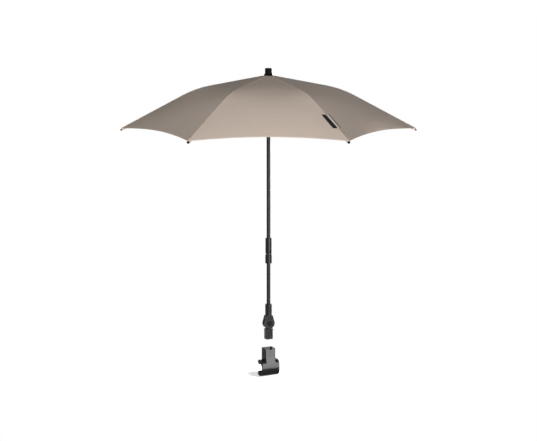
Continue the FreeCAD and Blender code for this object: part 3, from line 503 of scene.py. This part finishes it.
# %% Puckers and UV map
PUCKER = 0.3 * MM
PUCKER_PITCH = 11 * MM
PUCKER_REACH = 7 * MM
GATHER = 0.5 * MM                    # where the cloth is gathered round the crown
GATHER_REACH = 14 * MM
GATHERS = 3                          # waves from the middle of one panel to the next


def pucker(radius, share):
    """Small waves beside a seam and round the crown, where the stitching draws the cloth in."""
    side = abs(share) * radius * math.sin(HALF_GORE)
    fade = math.exp(-side / PUCKER_REACH) * (1 if share else 0)
    beside_seam = PUCKER * math.sin(2 * math.pi * radius / PUCKER_PITCH + 2 * share) * fade
    near_crown = math.exp(-max(radius - HUB_EDGE[0], 0) / GATHER_REACH)
    return beside_seam - GATHER * near_crown * math.sin(GATHERS * math.pi * share / 2) ** 2


def two_sides(number, places, top, bottom):
    """Points of a sheet's upper and lower side, at two heights from the cloth's upper face."""
    upper = [on_cloth(number, radius, share, pucker(radius, share) + top) for radius, share in places]
    lower = [on_cloth(number, radius, share, pucker(radius, share) + bottom) for radius, share in places]
    return upper + lower


def panel_uv(mesh, places):
    """UV map in metres: across from the middle of the panel, and down from the top."""
    layer = mesh.uv_layers.new(name="cloth")
    count = len(places)
    for face in mesh.polygons:
        corners = [mesh.loops[loop].vertex_index % count for loop in face.loop_indices]
        side = 1 if sum(places[corner][1] for corner in corners) >= 0 else -1
        for loop, corner in zip(face.loop_indices, corners):
            radius, share = places[corner]
            across = -side * radius * math.sin(HALF_GORE) * (1 - abs(share))
            layer.data[loop].uv = (across, radius * math.cos(HALF_GORE))


print("puckers", round(PUCKER_PITCH / MM, 1), "mm apart")

# %% Cloth over each rib
ROWS = 130
SIDE_SHARES = [0, 0.012, 0.03, 0.06, 0.1, 0.16, 0.24, 0.34, 0.46, 0.58, 0.7, 0.82, 0.92, 1]
SHARES = [-share for share in reversed(SIDE_SHARES[1:])] + SIDE_SHARES


def fold_with_rib(piece):
    """Give the piece its own copy of its mesh."""
    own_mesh(piece)


def cloth_over_rib(number):
    """Cloth from the middle of one panel, over a rib, to the middle of the next."""
    places = []
    for row in range(ROWS):
        for share in SHARES:
            reach = row / (ROWS - 1)
            places.append((HOLE_R + (hem_radius(share) - HOLE_R) * reach, share))
    points = two_sides(number, places, 0.0, -CLOTH_THICK)
    faces = thick_faces(ROWS, len(SHARES))
    piece = piece_from(f"canopy_cloth_{number + 1}", points, faces, taupe_cloth, f"rib_{number + 1}")
    panel_uv(piece.data, places)
    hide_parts(f"canopy_panel_{number + 1}")
    fold_with_rib(piece)
    return piece


cloths = [cloth_over_rib(number) for number in range(RIB_COUNT)]
print(len(cloths), "pieces of cloth,", len(cloths[0].data.vertices), "points each")

# %% Lining under the crown
# A tier's two radii in mm, and the share of its width that it keeps
TIERS = [(15, 30, 0.6), (28, 60, 0.46), (58, 120, 0.35), (118, 190, 0.28)]
TIER_WIDTH = 0.97                    # so that two neighbours stay apart while the canopy is open
TIER_ROWS = 9
TIER_TOP, TIER_BOTTOM = -0.68 * MM, -0.93 * MM    # from the cloth's upper face


def lining_tier(number, tier):
    """A band of thin cloth under the canopy's cloth, between two radii."""
    start, end, keep = TIERS[tier]
    radii = np.linspace(start * MM, end * MM, TIER_ROWS)
    places = [(radius, share * TIER_WIDTH) for radius in radii for share in SHARES]
    points = two_sides(number, places, TIER_TOP, TIER_BOTTOM)
    faces = thick_faces(TIER_ROWS, len(SHARES))
    name = f"crown_lining_{number + 1}_{tier + 1}"
    piece = piece_from(name, points, faces, taupe_cloth, f"rib_{number + 1}")
    panel_uv(piece.data, places)
    fold_with_rib(piece)
    return piece


linings = [[lining_tier(number, tier) for tier in range(len(TIERS))] for number in range(RIB_COUNT)]
print(len(linings), "linings of", len(TIERS), "tiers")

# %% [markdown]
# ## Hems, seams, corner sleeves and ties
# The lower edge of the cloth is turned under twice and sewn, which makes a stiff band about 8 mm wide.
# Over each rib two panels are joined in a narrow felled seam that stands slightly proud and catches the
# light. At each corner the black tip of the rib sits in a sleeve of the same cloth, from which its nose
# looks out. On the underside short tapes tie the cloth to the rib. A curve with a bevel could make such
# strips, but it would not turn with the cloth under it. So one function sweeps all four through rings of
# points, which lie on the cloth for hems and seams, and round the rib for sleeves and ties.

# %% Strips, and the hems as the first of them
def swept_piece(name, rings, material, number):
    """A strip through closed rings of points, capped at both ends, that rides on a rib."""
    sides = len(rings[0])
    faces = []
    for start in range(0, (len(rings) - 1) * sides, sides):
        for side in range(sides):
            after = (side + 1) % sides
            faces.append((start + side, start + after, start + sides + after, start + sides + side))
    last = (len(rings) - 1) * sides
    faces.append(tuple(reversed(range(sides))))
    faces.append(tuple(range(last, last + sides)))
    points = [point for ring in rings for point in ring]
    piece = piece_from(name, points, faces, material, f"rib_{number + 1}")
    along = np.cumsum([0.0] + [(two[0] - one[0]).length for one, two in zip(rings, rings[1:])])
    around = np.cumsum([0.0] + [(two - one).length for one, two in zip(rings[0], rings[0][1:])])
    layer = piece.data.uv_layers.new(name="cloth")
    for loop in piece.data.loops:
        ring, side = divmod(loop.vertex_index, sides)
        layer.data[loop.index].uv = (around[side], along[ring])
    return piece


HEM_WIDTH = 8.0 * MM
HEM_STEPS = 61
# Share of the width inward from the edge, and rise from the cloth in mm
HEM_SECTION = [(1.0, 0.05), (0.6, 0.2), (0.1, 0.2), (-0.03, -0.1), (0.0, -0.5), (0.08, -1.0), (1.0, -1.0)]


def hem_over_rib(number):
    """The turned edge of one piece of cloth."""
    rings = []
    for share in np.linspace(-1, 1, HEM_STEPS):
        edge = hem_radius(share)
        rings.append([on_cloth(number, edge - inward * HEM_WIDTH, share, rise_mm * MM)
                      for inward, rise_mm in HEM_SECTION])
    piece = swept_piece(f"canopy_hem_{number + 1}", rings, taupe_cloth, number)
    fold_with_rib(piece)
    return piece


hems = [hem_over_rib(number) for number in range(RIB_COUNT)]
print(len(hems), "hems,", round(HEM_WIDTH / MM, 1), "mm wide")

# %% Seams
SEAM_HALF = 1.7 * MM
SEAM_START = 16 * MM
SEAM_END = CORNER_R - 2 * MM
SEAM_STEPS = 120
# Half widths aside from the rib, and rise from the cloth in mm
SEAM_SECTION = [(-1.0, 0.05), (-0.7, 0.25), (-0.3, 0.35), (0.3, 0.35),
                (0.7, 0.25), (1.0, 0.05), (0.7, -0.5), (-0.7, -0.5)]


def share_at(radius, sideways):
    """Share of the way across a half panel for a sideways distance from the rib."""
    return sideways / (radius * math.sin(HALF_GORE) * math.cos(HALF_GORE))


def seam_over_rib(number):
    """The felled seam between two panels."""
    rings = []
    for radius in np.linspace(SEAM_START, SEAM_END, SEAM_STEPS):
        rings.append([on_cloth(number, radius, share_at(radius, aside * SEAM_HALF), rise_mm * MM)
                      for aside, rise_mm in SEAM_SECTION])
    return swept_piece(f"canopy_seam_{number + 1}", rings, taupe_cloth, number)


seams = [seam_over_rib(number) for number in range(RIB_COUNT)]
print(len(seams), "seams,", round(2 * SEAM_HALF / MM, 1), "mm wide")

# %% Corner sleeves, and tapes that tie the cloth to the ribs
SLEEVE_PLACE = RIB_LENGTH - 7 * MM
SLEEVE_HALF = 5.0 * MM               # half its length along the rib
SLEEVE_GIRTH = 1.2                   # the tip is stouter than the rib
TIE_PLACES = [52 * MM, 222 * MM, 300 * MM]
TIE_HALF = 3.0 * MM
TIE_GIRTH = 1.0
TAPE_THICK = 0.5 * MM
# Distance aside from the rib, and offset above its centre line, in mm
LOOP = [(-2.1, 2.6), (-2.1, -2.0), (-1.6, -2.3), (1.6, -2.3), (2.1, -2.0), (2.1, 2.6)]


def rib_point(number, along, offset, aside):
    """Point beside a rib: a length along it, an offset above its centre line and a distance aside."""
    outward, sideways = rib_frame(number)
    radius, height = beside_rib(along, offset)
    return outward * radius + sideways * aside + Vector((0, 0, APEX_Z + height))


def loop_round_rib(name, number, along, half_length, girth):
    """A loop of tape under a rib, with both ends sewn to the cloth above."""
    start, end = along - half_length, along + half_length
    rings = []
    for aside_mm, offset_mm in LOOP:
        reach = math.hypot(aside_mm, offset_mm) * MM
        ring = []
        for place, out in ((start, 0), (end, 0), (end, TAPE_THICK), (start, TAPE_THICK)):
            grow = girth + out / reach
            ring.append(rib_point(number, place, offset_mm * MM * grow, aside_mm * MM * grow))
        rings.append(ring)
    return swept_piece(name, rings, taupe_cloth, number)


sleeves = []
ties = []
for number in range(RIB_COUNT):
    name = f"corner_sleeve_{number + 1}"
    sleeves.append(loop_round_rib(name, number, SLEEVE_PLACE, SLEEVE_HALF, SLEEVE_GIRTH))
    ties.append([])
    for count, along in enumerate(TIE_PLACES, 1):
        name = f"rib_tie_{number + 1}_{count}"
        ties[-1].append(loop_round_rib(name, number, along, TIE_HALF, TIE_GIRTH))
print(len(sleeves), "corner sleeves,", sum(len(row) for row in ties), "ties")

# %% [markdown]
# ## Stitches
# A lockstitch shows as a row of short beads of thread, each sunk into the cloth at both ends. One row
# holds the hem, and one lies on each side of a seam. A dashed line in the material would be lighter, but
# it would stay flat where one looks along the cloth. So each stitch is a small spindle of thread, and a
# row of them is one piece.

# %% One stitch
STITCH = 2.6 * MM
STITCH_PITCH = 3.8 * MM
THREAD_R = 0.3 * MM
STITCH_RINGS = ((-0.5, 0.0), (-0.3, 1.0), (0.3, 1.0), (0.5, 0.0))    # place along the stitch, and girth
STITCH_SIDES = 5
LEAST_GIRTH = 0.3                    # so that the sunk ends keep some thickness
# Spun polyester, dyed a shade darker than the cloth: the row reads as a fine line
thread = moulded_material(
    "polyester_thread_taupe", "#9c8a7d", "#ad9b8e", grit_mm=0.6, depth_mm=0.1, roughness=0.6)


def add_stitch(points, faces, centre, along, up):
    """Add the points and faces of one bead of thread."""
    start = len(points)
    side = along.cross(up).normalized()
    for place, girth in STITCH_RINGS:
        for turn in np.arange(STITCH_SIDES) * 2 * math.pi / STITCH_SIDES:
            girth_r = THREAD_R * max(girth, LEAST_GIRTH)
            lift = math.sin(turn) * girth_r + (girth - 1) * THREAD_R
            points.append(centre + along * place * STITCH + side * math.cos(turn) * girth_r + up * lift)
    for ring in range(len(STITCH_RINGS) - 1):
        for corner in range(STITCH_SIDES):
            one = start + ring * STITCH_SIDES + corner
            two = start + ring * STITCH_SIDES + (corner + 1) % STITCH_SIDES
            faces.append((one, two, two + STITCH_SIDES, one + STITCH_SIDES))
    faces.append(tuple(range(start + STITCH_SIDES - 1, start - 1, -1)))
    faces.append(tuple(range(len(points) - STITCH_SIDES, len(points))))


print("stitches", round(STITCH / MM, 1), "mm long,", round(STITCH_PITCH / MM, 1), "mm apart")

# %% Rows of stitches
PATH_STEPS = 121
HEM_STITCH_PLACE = 0.8               # share of the hem's width inward from the edge
HEM_STITCH_RISE = 0.3 * MM
SEAM_STITCH_PLACE = 1.5              # half widths of the seam aside from the rib
SEAM_STITCH_RISE = 0.2 * MM


def row_of_stitches(name, number, path, rise, folds):
    """Beads of thread along (radius, share) places on the cloth."""
    points = []
    faces = []
    spots = [on_cloth(number, radius, share, rise) for radius, share in path]
    lengths = np.cumsum([0] + [(two - one).length for one, two in zip(spots, spots[1:])])
    for middle in np.arange(STITCH_PITCH / 2, lengths[-1], STITCH_PITCH):
        index = min(int(np.searchsorted(lengths, middle)), len(spots) - 1)
        one, two = spots[index - 1], spots[index]
        along = (two - one).normalized()
        centre = one + along * (middle - lengths[index - 1])
        add_stitch(points, faces, centre, along, cloth_normal(number, *path[index]))
    piece = piece_from(name, points, faces, thread, f"rib_{number + 1}")
    if folds:
        fold_with_rib(piece)
    return piece


stitch_rows = []
for number in range(RIB_COUNT):
    inset = HEM_STITCH_PLACE * HEM_WIDTH
    hem_path = [(hem_radius(share) - inset, share) for share in np.linspace(-1, 1, PATH_STEPS)]
    name = f"hem_stitches_{number + 1}"
    stitch_rows.append([row_of_stitches(name, number, hem_path, HEM_STITCH_RISE, True)])
    for side, label in ((-1, "left"), (1, "right")):
        radii = np.linspace(SEAM_START, CORNER_R - HEM_WIDTH, PATH_STEPS)
        aside = side * SEAM_STITCH_PLACE * SEAM_HALF
        seam_path = [(radius, share_at(radius, aside)) for radius in radii]
        name = f"seam_stitches_{label}_{number + 1}"
        stitch_rows[-1].append(row_of_stitches(name, number, seam_path, SEAM_STITCH_RISE, False))
print(sum(len(rows) for rows in stitch_rows), "rows of stitches")

# %% [markdown]
# ## Each piece of cloth and what is sewn to it
# A piece of cloth was cut as wide as the distance between two corners, and as long as a rib. Here the
# points on the upper side of each piece are counted, and what is sewn to it is gathered with it.

for number, piece in enumerate(cloths):
    count = len(SHARES) * ROWS
    parts = [hems[number], seams[number], sleeves[number]]
    parts += linings[number] + ties[number] + stitch_rows[number]

# %% [markdown]
# ## Woven tag
# A small folded ribbon tag is caught in one seam. Here it is plain: a black satin weave with one pale
# stripe along its edge. It could be painted on the cloth, but a real tag has an edge that throws a thin
# shadow. So it is a thin sheet that follows the cloth's curve and stands off it by about its own thickness.

# %% Ribbon material
TAG_LENGTH = 49 * MM
RIBBON_RIB_MM = 1.1                  # real ribs are finer, and are drawn as coarse as this to show
RIBBON_DEPTH_MM = 0.2
TAG_STRIPE = (0.48, 0.82)            # from left to right


def tag_material():
    """Black satin ribbon with a pale woven stripe."""
    material = start_material("satin_ribbon_black_with_stripe")
    place = add_node(material, "ShaderNodeTexCoord").outputs["UV"]
    across = add_node(material, "ShaderNodeSeparateXYZ", {0: place}).outputs["X"]
    past = add_node(material, "ShaderNodeMath", {0: across, 1: TAG_STRIPE[0]}, operation="GREATER_THAN")
    short = add_node(material, "ShaderNodeMath", {0: across, 1: TAG_STRIPE[1]}, operation="LESS_THAN")
    inside = {0: past.outputs[0], 1: short.outputs[0]}
    stripe = add_node(material, "ShaderNodeMath", inside, operation="MULTIPLY").outputs[0]
    colours = {0: stripe, FROM_COLOUR: linear("#080707"), TO_COLOUR: linear("#c4b9af")}
    colour = add_node(material, "ShaderNodeMix", colours, data_type="RGBA").outputs[MIXED_COLOUR]
    rib_scale = 2 * math.pi * TAG_LENGTH / (WAVE_RADIANS * RIBBON_RIB_MM * MM)
    weave = {"Vector": place, "Scale": rib_scale}
    ribs = add_node(material, "ShaderNodeTexWave", weave, bands_direction="Y").outputs["Fac"]
    relief = {"Height": ribs, "Strength": 0.3, "Distance": RIBBON_DEPTH_MM * MM}
    bump = add_node(material, "ShaderNodeBump", relief)
    shader = add_node(material, "ShaderNodeBsdfPrincipled", {
        "Base Color": colour, "Roughness": 0.5, "Specular IOR Level": 0.08,
        "Normal": bump.outputs["Normal"]})
    add_node(material, "ShaderNodeOutputMaterial", {"Surface": shader.outputs["BSDF"]})
    return material


# Woven satin: smoother and far darker than the cloth, with a soft shine
ribbon = tag_material()
print("made", ribbon.name)

# %% Woven tag
TAG_RIB = 4                          # counted from 0: the seam to the right of the camera
TAG_MIDDLE = 0.2885                  # radius of its middle
TAG_LEFT, TAG_RIGHT = -10.5 * MM, 8.5 * MM
TAG_RISE = 1.5 * MM
TAG_THICK = 0.8 * MM
TAG_ROWS = 15
TAG_COLUMNS = 9


def woven_tag():
    """A thin sheet that follows the cloth on both sides of a seam."""
    upper = []
    lower = []
    for row in range(TAG_ROWS):
        radius = TAG_MIDDLE + (row / (TAG_ROWS - 1) - 0.5) * TAG_LENGTH
        for column in range(TAG_COLUMNS):
            aside = TAG_LEFT + (TAG_RIGHT - TAG_LEFT) * column / (TAG_COLUMNS - 1)
            upper.append(on_cloth(TAG_RIB, radius, share_at(radius, aside), TAG_RISE))
            lower.append(on_cloth(TAG_RIB, radius, share_at(radius, aside), TAG_RISE - TAG_THICK))
    faces = thick_faces(TAG_ROWS, TAG_COLUMNS)
    piece = piece_from("woven_tag", upper + lower, faces, ribbon, f"rib_{TAG_RIB + 1}")
    layer = piece.data.uv_layers.new(name="ribbon")
    for loop in piece.data.loops:
        row, column = divmod(loop.vertex_index % len(upper), TAG_COLUMNS)
        layer.data[loop.index].uv = (column / (TAG_COLUMNS - 1), row / (TAG_ROWS - 1))


woven_tag()
print("tag is", round((TAG_RIGHT - TAG_LEFT) / MM, 1), "by", round(TAG_LENGTH / MM, 1), "mm")

# %% [markdown]
# ## Floor, background and light
# The picture is a studio shot: a white sweep and one broad soft lamp close to the camera, hardly above
# it. Slopes that face the camera are bright, and flat tops and far sides fall away. A black thing shows
# what it mirrors, so the broad lamp is kept out of the reflections, and a low panel on the right, which
# only reflections see, draws the one bright streak down the pole. A spot from the upper right, narrow
# enough to pass under the canopy, lays the short shadow to the left of the clip. A lamp behind serves the
# views from there.
#
# The floor shows white to the camera through Light Path. Where the shadow falls, part of that white comes
# from the lamps instead, so that the shadow can be seen. From below the floor is clear. A large floor
# would hide the canopy when it tilts far down, so the floor is small, and a wide card that no camera sees
# lies lower and throws light back up.

# %% Paper of the floor
FLOOR_GLOW = 0.36                    # where the clip's shadow falls
SHADOW_PLACE = Vector((-0.019, 0.019, 0))
GLOW_NEAR, GLOW_FAR = 0.015, 0.05    # distances from there between which the glow rises to white


def seen_directly(owner):
    """1 for a view by the camera, a mirror or glass, and 0 for light on its way between surfaces."""
    path = add_node(owner, "ShaderNodeLightPath").outputs
    seen = path["Is Camera Ray"]
    for kind in ("Is Glossy Ray", "Is Transmission Ray"):
        either = {0: seen, 1: path[kind]}
        seen = add_node(owner, "ShaderNodeMath", either, operation="MAXIMUM").outputs[0]
    return seen


def floor_material():
    """White paper that glows to the camera, less so where the shadow falls, and is clear from below."""
    material = start_material("paper_sweep_white")
    seen = seen_directly(material)
    place = add_node(material, "ShaderNodeTexCoord").outputs["Object"]
    flatten = {0: place, 1: (1, 1, 0)}
    level = add_node(material, "ShaderNodeVectorMath", flatten, operation="MULTIPLY").outputs[0]
    gap = {0: level, 1: SHADOW_PLACE}
    away = add_node(material, "ShaderNodeVectorMath", gap, operation="DISTANCE").outputs["Value"]
    rise = {"Value": away, "From Min": GLOW_NEAR, "From Max": GLOW_FAR, "To Min": FLOOR_GLOW, "To Max": 1.0}
    glow = add_node(material, "ShaderNodeMapRange", rise, interpolation_type="SMOOTHSTEP").outputs[0]
    strength = add_node(material, "ShaderNodeMath", {0: glow, 1: seen}, operation="MULTIPLY").outputs[0]
    paper = add_node(material, "ShaderNodeBsdfDiffuse", {"Color": linear("#d0d0d0")})
    white = add_node(material, "ShaderNodeEmission", {"Strength": strength})
    both = {0: paper.outputs["BSDF"], 1: white.outputs["Emission"]}
    upper = add_node(material, "ShaderNodeAddShader", both).outputs["Shader"]
    under = add_node(material, "ShaderNodeNewGeometry").outputs["Backfacing"]
    clear = add_node(material, "ShaderNodeBsdfTransparent").outputs["BSDF"]
    sides = add_node(material, "ShaderNodeMixShader", {"Fac": under, 1: upper, 2: clear})
    add_node(material, "ShaderNodeOutputMaterial", {"Surface": sides.outputs["Shader"]})
    return material


# Matt white paper: no edge and no shine to be seen, only the soft shadow
paper_sweep = floor_material()
print("made", paper_sweep.name)

# %% Floor and card
FLOOR_SIZE = 0.22                    # enough for the shadow
CARD_SIZE = 12.0
CARD_DROP = 0.6                      # below the floor


def flat_square(name, middle, size, height, material):
    """A level square."""
    left, right = middle.x - size / 2, middle.x + size / 2
    near, far = middle.y - size / 2, middle.y + size / 2
    corners = [(left, near, height), (right, near, height), (right, far, height), (left, far, height)]
    mesh = bpy.data.meshes.new(name)
    mesh.from_pydata(corners, [], [(0, 1, 2, 3)])
    mesh.materials.append(material)
    piece = bpy.data.objects.new(name, mesh)
    bpy.context.scene.collection.objects.link(piece)
    return piece


floor_z = cad_box[0].z
flat_square("floor", SHADOW_PLACE, FLOOR_SIZE, floor_z, paper_sweep)
card = flat_square("bounce_card", SHADOW_PLACE, CARD_SIZE, floor_z - CARD_DROP, paper_sweep)
card.visible_camera = False
card.visible_shadow = False
print("floor at", round(floor_z, 4))

# %% World
AMBIENT = 0.03


def studio_world():
    """White to the camera, and almost dark as a light."""
    world = bpy.data.worlds.new("studio")
    world.use_nodes = True
    world.node_tree.nodes.clear()
    seen = seen_directly(world)
    dim = add_node(world, "ShaderNodeBackground", {"Color": linear("#ffffff"), "Strength": AMBIENT})
    white = add_node(world, "ShaderNodeBackground", {"Color": linear("#ffffff"), "Strength": 1.0})
    mixed = {"Fac": seen, 1: dim.outputs["Background"], 2: white.outputs["Background"]}
    mix = add_node(world, "ShaderNodeMixShader", mixed)
    add_node(world, "ShaderNodeOutputWorld", {"Surface": mix.outputs["Shader"]})
    return world


scene = bpy.context.scene
scene.world = studio_world()
scene.view_settings.view_transform = "Standard"
print("world", scene.world.name, "at strength", AMBIENT)

# %% Lamps
CANOPY_AIM = Vector((0, 0, 0.55))
KEY_PLACE = round_pole(CAMERA_TURN, 4.2, 0.96)
KEY_SIZE = 1.6
KEY_WATTS = 288
STREAK_PLACE = round_pole(math.radians(11), 1.5, 0.25)
STREAK_AIM = Vector((0, 0, 0.25))
STREAK_WIDTH, STREAK_HEIGHT = 0.9, 0.6
STREAK_WATTS = 40
SPOT_PLACE = round_pole(math.radians(38), 0.8, 1.0)
SPOT_AIM = Vector((-0.02, 0.02, 0))
SPOT_CONE = math.radians(16)
SPOT_SOFTNESS = 0.12                 # radius of the light source
SPOT_WATTS = 55
BACK_PLACE = round_pole(math.radians(140), 4.2, 0.75)
BACK_WATTS = 160


def lamp(name, kind, place, aim, watts, **settings):
    """A lamp that faces a point."""
    data = bpy.data.lights.new(name, kind)
    data.energy = watts
    for setting, value in settings.items():
        setattr(data, setting, value)
    made = bpy.data.objects.new(name, data)
    made.location = place
    made.rotation_euler = (aim - place).to_track_quat("-Z", "Y").to_euler()
    made.visible_camera = False
    scene.collection.objects.link(made)
    return made


key = lamp("key", "AREA", KEY_PLACE, CANOPY_AIM, KEY_WATTS, size=KEY_SIZE)
key.visible_glossy = False
streak = lamp("streak", "AREA", STREAK_PLACE, STREAK_AIM, STREAK_WATTS,
              shape="RECTANGLE", size=STREAK_WIDTH, size_y=STREAK_HEIGHT)
streak.visible_diffuse = False
lamp("clip_spot", "SPOT", SPOT_PLACE, SPOT_AIM, SPOT_WATTS,
     spot_size=SPOT_CONE, spot_blend=1.0, shadow_soft_size=SPOT_SOFTNESS)
lamp("back", "AREA", BACK_PLACE, CANOPY_AIM, BACK_WATTS, size=KEY_SIZE)
